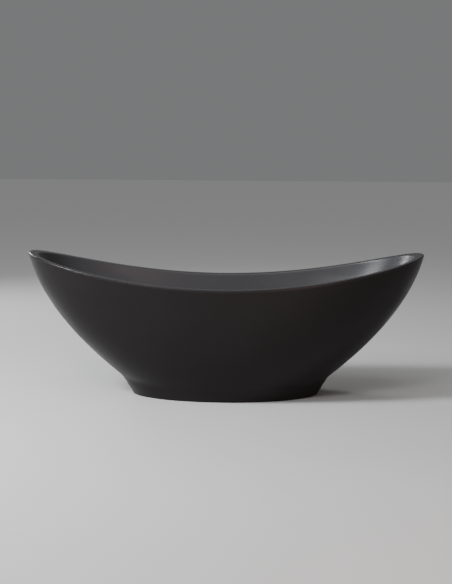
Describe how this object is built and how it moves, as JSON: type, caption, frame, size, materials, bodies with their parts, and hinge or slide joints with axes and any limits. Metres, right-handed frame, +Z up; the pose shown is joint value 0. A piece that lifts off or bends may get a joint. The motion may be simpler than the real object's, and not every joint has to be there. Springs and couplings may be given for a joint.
{
  "type": "freestanding bathtub",
  "caption": "Double-ended freestanding bathtub with upswept ends on a flared plinth, over a frame with levelling legs, with pop-up waste and overflow.",
  "frame": {"origin": "on the floor under the waste, at the middle of the plinth", "axes": "+X along the tub, +Y across it away from the overflow's side, +Z up"},
  "size_m": [1.8, 0.806, 0.6477],
  "materials": {
    "outer_skin": "matt charcoal, coloured through",
    "bowl_skin": "matt charcoal, coloured through",
    "plywood": "sealed birch plywood",
    "galvanised_steel": "galvanised",
    "zinc_screws": "zinc plated",
    "zinc_nuts": "zinc plated",
    "threaded_steel": "zinc plated, threaded",
    "pad_plastic": "moulded black polyamide",
    "chrome_trim": "polished chrome",
    "seal_rubber": "moulded black rubber",
    "cartridge_brass": "turned brass",
    "waste_plastic": "moulded white polypropylene",
    "hose_plastic": "ribbed grey polypropylene",
    "nut_plastic": "moulded black, knurled"
  },
  "bodies": {
    "tub": {"outer_shell": "outer_skin", "inner_shell": "bowl_skin", "base_board": "plywood", "plinth_ring": "plywood", "frame_side_rail_front": "galvanised_steel", "frame_side_rail_rear": "galvanised_steel", "frame_cross_rail_left": "galvanised_steel", "frame_cross_rail_middle": "galvanised_steel", "frame_cross_rail_right": "galvanised_steel", "frame_screws": "zinc_screws", "skirt_bracket_front_left": "galvanised_steel", "skirt_bracket_front_right": "galvanised_steel", "skirt_bracket_rear_right": "galvanised_steel", "skirt_bracket_rear_left": "galvanised_steel", "bracket_upper_screws": "zinc_screws", "bracket_lower_screws": "zinc_screws", "waste_flange": "chrome_trim", "waste_upper_seal": "seal_rubber", "waste_lower_seal": "seal_rubber", "waste_body": "waste_plastic", "plug_cartridge": "cartridge_brass", "plug_bolt": "zinc_screws", "overflow_cover": "chrome_trim", "overflow_bush": "waste_plastic", "overflow_inner_seal": "seal_rubber", "overflow_outer_seal": "seal_rubber", "overflow_elbow": "waste_plastic", "overflow_hose": "hose_plastic", "hose_nut_upper": "nut_plastic", "hose_nut_lower": "nut_plastic", "leg_1_weld_nut": "zinc_nuts", "leg_2_weld_nut": "zinc_nuts", "leg_3_weld_nut": "zinc_nuts", "leg_4_weld_nut": "zinc_nuts", "leg_5_weld_nut": "zinc_nuts", "leg_1_lock_nut": "zinc_nuts", "leg_2_lock_nut": "zinc_nuts", "leg_3_lock_nut": "zinc_nuts", "leg_4_lock_nut": "zinc_nuts", "leg_5_lock_nut": "zinc_nuts"},
    "plug": {"plug_cap": "chrome_trim", "plug_seal": "seal_rubber", "plug_plunger": "chrome_trim"},
    "leg_1_foot": {"leg_1_pad": "pad_plastic"},
    "leg_1_screw": {"leg_1_stud": "threaded_steel"},
    "leg_2_foot": {"leg_2_pad": "pad_plastic"},
    "leg_2_screw": {"leg_2_stud": "threaded_steel"},
    "leg_3_foot": {"leg_3_pad": "pad_plastic"},
    "leg_3_screw": {"leg_3_stud": "threaded_steel"},
    "leg_4_foot": {"leg_4_pad": "pad_plastic"},
    "leg_4_screw": {"leg_4_stud": "threaded_steel"},
    "leg_5_foot": {"leg_5_pad": "pad_plastic"},
    "leg_5_screw": {"leg_5_stud": "threaded_steel"}
  },
  "joints": [
    {"name": "plug_lift", "type": "slide", "parent": "tub", "child": "plug", "axis": [0, 0, 1], "range_m": [0, 0.009]},
    {"name": "leg_1_height", "type": "slide", "parent": "tub", "child": "leg_1_foot", "axis": [0, 0, -1], "range_m": [-0.012, 0.012]},
    {"name": "leg_1_spin", "type": "hinge", "parent": "leg_1_foot", "child": "leg_1_screw", "pos_m": [-0.268, -0.135, 0.06], "axis": [0, 0, 1], "range_deg": [-2469, 2469]},
    {"name": "leg_2_height", "type": "slide", "parent": "tub", "child": "leg_2_foot", "axis": [0, 0, -1], "range_m": [-0.012, 0.012]},
    {"name": "leg_2_spin", "type": "hinge", "parent": "leg_2_foot", "child": "leg_2_screw", "pos_m": [0.268, -0.135, 0.06], "axis": [0, 0, 1], "range_deg": [-2469, 2469]},
    {"name": "leg_3_height", "type": "slide", "parent": "tub", "child": "leg_3_foot", "axis": [0, 0, -1], "range_m": [-0.012, 0.012]},
    {"name": "leg_3_spin", "type": "hinge", "parent": "leg_3_foot", "child": "leg_3_screw", "pos_m": [0.268, 0.135, 0.06], "axis": [0, 0, 1], "range_deg": [-2469, 2469]},
    {"name": "leg_4_height", "type": "slide", "parent": "tub", "child": "leg_4_foot", "axis": [0, 0, -1], "range_m": [-0.012, 0.012]},
    {"name": "leg_4_spin", "type": "hinge", "parent": "leg_4_foot", "child": "leg_4_screw", "pos_m": [-0.268, 0.135, 0.06], "axis": [0, 0, 1], "range_deg": [-2469, 2469]},
    {"name": "leg_5_height", "type": "slide", "parent": "tub", "child": "leg_5_foot", "axis": [0, 0, -1], "range_m": [-0.012, 0.012]},
    {"name": "leg_5_spin", "type": "hinge", "parent": "leg_5_foot", "child": "leg_5_screw", "pos_m": [0.11, 0, 0.06], "axis": [0, 0, 1], "range_deg": [-2469, 2469]}
  ],
  "couplings": [
    {"joint": "leg_1_spin", "follows": "leg_1_height", "rad_per_m": 3590.4},
    {"joint": "leg_2_spin", "follows": "leg_2_height", "rad_per_m": 3590.4},
    {"joint": "leg_3_spin", "follows": "leg_3_height", "rad_per_m": 3590.4},
    {"joint": "leg_4_spin", "follows": "leg_4_height", "rad_per_m": 3590.4},
    {"joint": "leg_5_spin", "follows": "leg_5_height", "rad_per_m": 3590.4}
  ]
}
